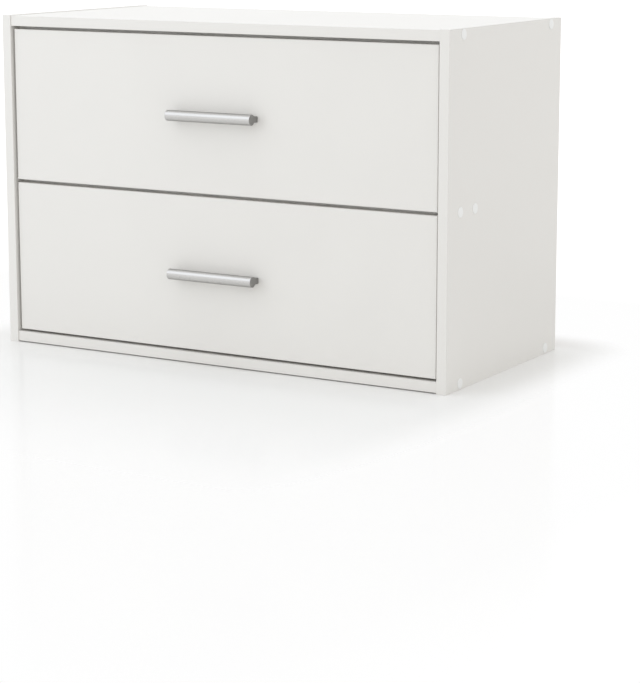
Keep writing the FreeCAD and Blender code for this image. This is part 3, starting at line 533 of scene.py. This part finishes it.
def round_edges(piece, radius):
    """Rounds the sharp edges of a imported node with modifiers, which leave its own mesh as it is."""
    nearly_flat = math.radians(1)
    weld = piece.modifiers.new("Joined corners", "WELD")
    weld.merge_threshold = 0.001 * MILLIMETRE
    flat = piece.modifiers.new("Whole flat faces", "DECIMATE")
    flat.decimate_type = "DISSOLVE"
    flat.angle_limit = nearly_flat
    bevel = add_bevel(piece, radius, steps=2, sharp=55)
    bevel.use_clamp_overlap = False


def smooth_faces(shape):
    """Turns every face outwards and shades it smoothly."""
    bmesh.ops.recalc_face_normals(shape, faces=shape.faces)
    for face in shape.faces:
        face.smooth = True


def add_piece(name, mesh_source, body, replaced, material):
    """A new piece from a bmesh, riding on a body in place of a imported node."""
    mesh = bpy.data.meshes.new(name)
    mesh_source.normal_update()
    mesh_source.to_mesh(mesh)
    mesh_source.free()
    piece = bpy.data.objects.new(name, mesh)
    bpy.context.scene.collection.objects.link(piece)
    dress(piece, material)
    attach(piece, body)
    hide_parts(replaced)
    return piece


def loose_parts(node):
    """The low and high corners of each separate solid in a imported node."""
    source = bmesh.new()
    source.from_mesh(frame["nodes"][node].data)
    bmesh.ops.remove_doubles(source, verts=source.verts, dist=0.01 * MILLIMETRE)
    waiting = set(source.verts)
    parts = []
    while waiting:
        part = [waiting.pop()]
        for vert in part:
            for edge in vert.link_edges:
                other = edge.other_vert(vert)
                if other in waiting:
                    waiting.remove(other)
                    part.append(other)
        corners = [vert.co.copy() for vert in part]
        low = Vector(min(corner[axis] for corner in corners) for axis in range(3))
        high = Vector(max(corner[axis] for corner in corners) for axis in range(3))
        parts.append((low, high))
    source.free()
    return sorted(parts, key=lambda part: tuple(part[0]))


def bar_handle(low, high, handles):
    """A round bar on two feet that are flush with its ends, as one closed mesh."""
    radius = (high.z - low.z) / 2
    axis_y = low.y + radius
    axis_z = low.z + radius
    half_foot = handles.foot_height / 2
    hidden = math.asin(half_foot / radius)
    fewest_steps = 4
    covered = max(fewest_steps, round(handles.steps * hidden / math.pi))
    open_steps = handles.steps - covered

    def arc(start, turn, steps):
        """Points of the bar's outline, turned from the back over the top."""
        for step in range(steps + 1):
            turned = start + turn * step / steps
            yield (axis_y + radius * math.cos(turned), axis_z + radius * math.sin(turned))

    front = list(arc(hidden, 2 * (math.pi - hidden), open_steps))
    behind = list(arc(-hidden, 2 * hidden, covered))[1:-1]
    foot = [(high.y, axis_z - half_foot), (high.y, axis_z + half_foot)]
    shape = bmesh.new()

    def section(x, outline):
        return [shape.verts.new((x, y, z)) for y, z in outline]

    def skin(first, second, closed):
        count = len(first)
        for index in range(count if closed else count - 1):
            following = (index + 1) % count
            shape.faces.new((first[index], first[following], second[following], second[index]))

    stations = [low.x, low.x + handles.foot_length, high.x - handles.foot_length, high.x]
    fronts = [section(x, front) for x in stations]
    feet = [section(x, foot) for x in stations]
    backs = [section(x, behind) for x in stations[1:3]]
    for start, end in ((0, 1), (2, 3)):
        skin(fronts[start] + feet[start], fronts[end] + feet[end], True)
    skin(fronts[1] + backs[0], fronts[2] + backs[1], True)
    for station in (0, 3):
        shape.faces.new(fronts[station] + feet[station])
    for station, back in ((1, backs[0]), (2, backs[1])):
        shape.faces.new([fronts[station][-1], *back, fronts[station][0], *reversed(feet[station])])
    smooth_faces(shape)
    return shape


def turned_cap(shape, middle, outward, radius, height, caps):
    """Adds one domed cover cap with its pin, turned about an axis along X."""
    rim_steps = 5
    face_steps = 6
    flat = radius - caps.rim
    outline = [(0.0, height)]
    for step in range(1, face_steps + 1):
        share_out = step / face_steps
        outline.append((flat * share_out, height - caps.dome * share_out ** 2))
    rim_top = height - caps.dome
    for step in range(1, rim_steps + 1):
        turn = math.pi / 2 * step / rim_steps
        outline.append((flat + caps.rim * math.sin(turn), rim_top * math.cos(turn)))
    outline += [(caps.pin_radius, 0.0), (caps.pin_radius, -caps.pin_length), (0.0, -caps.pin_length)]
    rings = []
    for ring_radius, level in outline:
        x = middle.x + outward * level
        if ring_radius == 0.0:
            rings.append([shape.verts.new((x, middle.y, middle.z))])
            continue
        turns = [2 * math.pi * step / caps.steps for step in range(caps.steps)]
        rings.append([
            shape.verts.new((x, middle.y + ring_radius * math.cos(turn),
                             middle.z + ring_radius * math.sin(turn)))
            for turn in turns
        ])
    for inner, outer in zip(rings, rings[1:]):
        for step in range(caps.steps):
            following = (step + 1) % caps.steps
            corners = [inner[step % len(inner)], inner[following % len(inner)],
                       outer[following % len(outer)], outer[step % len(outer)]]
            shape.faces.new(list(dict.fromkeys(corners)))


# Stage


def make_floor(stage):
    """A pale floor that fades to white away from the chest, for the camera and in reflections."""
    half = stage.floor_size / 2
    shape = bmesh.new()
    corners = [(-half, -half, 0), (half, -half, 0), (half, half, 0), (-half, half, 0)]
    shape.faces.new([shape.verts.new(corner) for corner in corners])
    mesh = bpy.data.meshes.new("floor")
    shape.to_mesh(mesh)
    shape.free()
    floor = bpy.data.objects.new("floor", mesh)
    bpy.context.scene.collection.objects.link(floor)
    material, tree, surface = start_material("pale_floor")
    away = distance_beside(tree, stage)
    faded = spread(tree, away, stage.white_from, stage.white_at, 0.0, WHITEST, ease="SMOOTHSTEP")
    white = calculate(tree, "MULTIPLY", seen_rays(tree), faded)
    put(surface["Base Color"],
        scale_colour(tree, stage.floor, calculate(tree, "SUBTRACT", 1.0, white)))
    near = spread(tree, away, MIRROR_FADE_FROM, MIRROR_FADE_AT, 1.0, 0.0)
    mirror = add_node(tree, "ShaderNodeFresnel", {"IOR": FLOOR_IOR}).outputs["Fac"]
    unmirrored = calculate(tree, "SUBTRACT", 1.0, calculate(tree, "MULTIPLY", near, mirror))
    put(surface["Emission Color"], (1, 1, 1))
    put(surface["Emission Strength"], calculate(tree, "MULTIPLY", white, unmirrored))
    put(surface["Roughness"], stage.floor_roughness)
    put(surface["IOR"], FLOOR_IOR)
    dress(floor, material)


def distance_beside(tree, stage):
    """How far a point of the floor is from the chest, stretched everywhere but before its front."""
    place = place_on_piece(tree)
    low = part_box("left_side_panel")[0]
    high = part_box("right_side_panel")[1]
    before = combine(tree, "MULTIPLY", combine(tree, "SUBTRACT", low, place),
                     (stage.side_fade, 1, 0))
    behind = combine(tree, "MULTIPLY", combine(tree, "SUBTRACT", place, high),
                     (stage.side_fade, stage.side_fade, 0))
    away = combine(tree, "MAXIMUM", combine(tree, "MAXIMUM", before, behind), (0, 0, 0))
    return combine(tree, "LENGTH", away)


def seen_rays(tree):
    """One where a surface is seen by the camera, mirrored or looked through, and nought elsewhere."""
    rays = tree.nodes.new("ShaderNodeLightPath").outputs
    seen = calculate(tree, "ADD", rays["Is Camera Ray"], rays["Is Glossy Ray"])
    return calculate(tree, "ADD", seen, rays["Is Transmission Ray"], clamp=True)


def light_room(stage):
    """An even light from all round, white where it is seen, with three wide and slightly cool lamps."""
    world = bpy.context.scene.world or bpy.data.worlds.new("room")
    bpy.context.scene.world = world
    world.use_nodes = True
    tree = world.node_tree
    background = tree.nodes["Background"].inputs
    put(background["Color"], (1, 1, 1))
    put(background["Strength"], between(tree, seen_rays(tree), stage.ambient, 1.0))
    overhead = add_lamp("overhead", "SUN")
    overhead.data.energy = stage.overhead * math.pi
    overhead.data.angle = stage.overhead_spread
    overhead.visible_glossy = False
    front_lamp = add_soft_lamp("front_lamp", stage.front_lamp, stage.front_lamp_size,
                               stage.front_lamp_place)
    front_lamp.visible_glossy = False
    softbox = add_soft_lamp("softbox", stage.softbox, stage.softbox_size, stage.softbox_place)
    for lamp in (overhead, front_lamp, softbox):
        lamp.data.color = stage.lamp_colour


def add_lamp(name, kind):
    lamp = bpy.data.objects.new(name, bpy.data.lights.new(name, kind))
    bpy.context.scene.collection.objects.link(lamp)
    return lamp


def add_soft_lamp(name, watts, size, spot):
    """A square lamp aimed at the middle of the chest, and not seen by the camera."""
    lamp = add_lamp(name, "AREA")
    lamp.data.energy = watts
    lamp.data.size = size
    lamp.location = spot
    aim = Vector((0, 0, chest_height() / 2)) - lamp.location
    lamp.rotation_euler = aim.to_track_quat("-Z", "Y").to_euler()
    lamp.visible_camera = False
    return lamp


def chest_height():
    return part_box("left_side_panel")[1].z


def place_camera(stage):
    camera = bpy.data.objects.new("camera", bpy.data.cameras.new("camera"))
    turn, tilt = stage.camera_turn
    camera.location = stage.camera_place
    camera.rotation_euler = Euler((math.pi / 2 - tilt, 0, turn))
    camera.data.sensor_width = SENSOR_WIDTH
    camera.data.lens = stage.lens
    camera.data.shift_y = stage.shift
    bpy.context.scene.collection.objects.link(camera)
    bpy.context.scene.camera = camera


# Operators


class CHEST_OT_surfaces(bpy.types.Operator):
    """Builds the surface effects that several materials share"""
    bl_idname = "chest.surfaces"
    bl_label = "Shared surfaces"

    def execute(self, context):
        make_board_layers()
        make_fine_surface()
        make_drawn_lines()
        return {"FINISHED"}


class CHEST_OT_boards(bpy.types.Operator):
    """Finishes the coated boards of the carcass and the drawers"""
    bl_idname = "chest.boards"
    bl_label = "Coated boards"

    def execute(self, context):
        boards = dict(CARCASS_BOARDS)
        for level in LEVELS:
            boards.update({f"{level}_{board}": banded for board, banded in DRAWER_BOARDS.items()})
        for node, banded in boards.items():
            piece = frame["nodes"][node]
            dress(piece, coated_board("coated_" + node, *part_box(node), banded))
            round_edges(piece, context.scene.chest.boards.arris)
        return {"FINISHED"}


class CHEST_OT_hardboard(bpy.types.Operator):
    """Finishes the back panel and the drawer bottoms"""
    bl_idname = "chest.hardboard"
    bl_label = "Hardboard"

    def execute(self, context):
        dress(frame["nodes"]["back_panel"], faced_hardboard("hardboard_upright", -AXES["Y"]))
        flat = faced_hardboard("hardboard_flat", AXES["Z"])
        for level in LEVELS:
            dress(frame["nodes"][f"{level}_drawer_bottom"], flat)
        return {"FINISHED"}


class CHEST_OT_handles(bpy.types.Operator):
    """Builds the two bar handles"""
    bl_idname = "chest.handles"
    bl_label = "Bar handles"

    def execute(self, context):
        handles = context.scene.chest.handles
        metal = satin_metal("satin_metal")
        for level in LEVELS:
            node = f"{level}_handle"
            shape = bar_handle(*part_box(node), handles)
            piece = add_piece(f"{level}_bar_handle", shape, f"{level}_drawer", node,
                              metal)
            add_bevel(piece, handles.rounding, steps=4, sharp=30)
        return {"FINISHED"}


class CHEST_OT_caps(bpy.types.Operator):
    """Builds the round cover caps over the carcass screws"""
    bl_idname = "chest.caps"
    bl_label = "Cover caps"

    def execute(self, context):
        caps = context.scene.chest.caps
        panels = {-1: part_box("left_side_panel")[0].x, 1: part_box("right_side_panel")[1].x}
        shape = bmesh.new()
        for low, high in loose_parts("screw_caps"):
            middle = (low + high) / 2
            outward = 1 if middle.x > 0 else -1
            tip = high.x if outward > 0 else low.x
            middle.x = panels[outward]
            radius = (high.z - low.z) / 2
            turned_cap(shape, middle, outward, radius, abs(tip - middle.x), caps)
        smooth_faces(shape)
        plastic = moulded_plastic("cap_plastic", caps.plastic, caps.roughness,
                                  grain=0.3 * MILLIMETRE)
        piece = add_piece("cover_caps", shape, "carcass", "screw_caps", plastic)
        piece.modifiers.new("Even shading", "WEIGHTED_NORMAL")
        return {"FINISHED"}


class CHEST_OT_runners(bpy.types.Operator):
    """Finishes the runner members and their rollers"""
    bl_idname = "chest.runners"
    bl_label = "Roller runners"

    def execute(self, context):
        fittings = context.scene.chest.fittings
        coating = baked_coating("runner_coating")
        nylon = moulded_plastic("roller_nylon", fittings.nylon, roughness=0.45,
                                grain=0.5 * MILLIMETRE)
        for level in LEVELS:
            for side in SIDES:
                for member in ("cabinet_runner", "drawer_runner"):
                    piece = frame["nodes"][f"{level}_{side}_{member}"]
                    dress(piece, coating)
                    round_edges(piece, fittings.fold)
                for end in ("front", "rear"):
                    dress(frame["nodes"][f"{level}_{side}_{end}_roller"], nylon)
        return {"FINISHED"}


class CHEST_OT_fasteners(bpy.types.Operator):
    """Finishes the screws, bolts, cam locks, rivets and dowels"""
    bl_idname = "chest.fasteners"
    bl_label = "Fasteners"

    def execute(self, context):
        zinc = zinc_plate("zinc_plate")
        slots = {part["node"]: part["material_slot"] for part in frame["record"]["subparts"]}
        for node, slot in slots.items():
            if slot == "zinc_screw":
                dress(frame["nodes"][node], zinc)
        dress(frame["nodes"]["carcass_dowels"], plain_beech("beech_across", "X"))
        lengthwise = plain_beech("beech_lengthwise", "Y")
        for level in LEVELS:
            dress(frame["nodes"][f"{level}_drawer_dowels"], lengthwise)
        return {"FINISHED"}


class CHEST_OT_stage(bpy.types.Operator):
    """Sets up the floor, the light and the camera"""
    bl_idname = "chest.stage"
    bl_label = "Stage"

    def execute(self, context):
        stage = context.scene.chest.stage
        make_floor(stage)
        light_room(stage)
        place_camera(stage)
        context.scene.view_settings.view_transform = "Standard"
        return {"FINISHED"}


class CHEST_PT_sidebar(bpy.types.Panel):
    bl_idname = "CHEST_PT_sidebar"
    bl_label = "Two-drawer chest"
    bl_space_type = "VIEW_3D"
    bl_region_type = "UI"
    bl_category = "Chest"

    def draw(self, context):
        for operator in OPERATORS:
            self.layout.operator(operator.bl_idname)


SETTINGS = (BoardSettings, HandleSettings, CapSettings, FittingSettings, StageSettings,
            ChestSettings)
OPERATORS = (CHEST_OT_surfaces, CHEST_OT_boards, CHEST_OT_hardboard, CHEST_OT_handles,
             CHEST_OT_caps, CHEST_OT_runners, CHEST_OT_fasteners, CHEST_OT_stage)


def register():
    for listed in (*SETTINGS, *OPERATORS, CHEST_PT_sidebar):
        bpy.utils.register_class(listed)
    bpy.types.Scene.chest = PointerProperty(type=ChestSettings)


def unregister():
    del bpy.types.Scene.chest
    for listed in (CHEST_PT_sidebar, *reversed(OPERATORS), *reversed(SETTINGS)):
        bpy.utils.unregister_class(listed)


def main():
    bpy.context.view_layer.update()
    register()
    bpy.ops.chest.surfaces()
    bpy.ops.chest.boards()
    bpy.ops.chest.hardboard()
    bpy.ops.chest.handles()
    bpy.ops.chest.caps()
    bpy.ops.chest.runners()
    bpy.ops.chest.fasteners()
    bpy.ops.chest.stage()


if __name__ == "__main__":
    main()
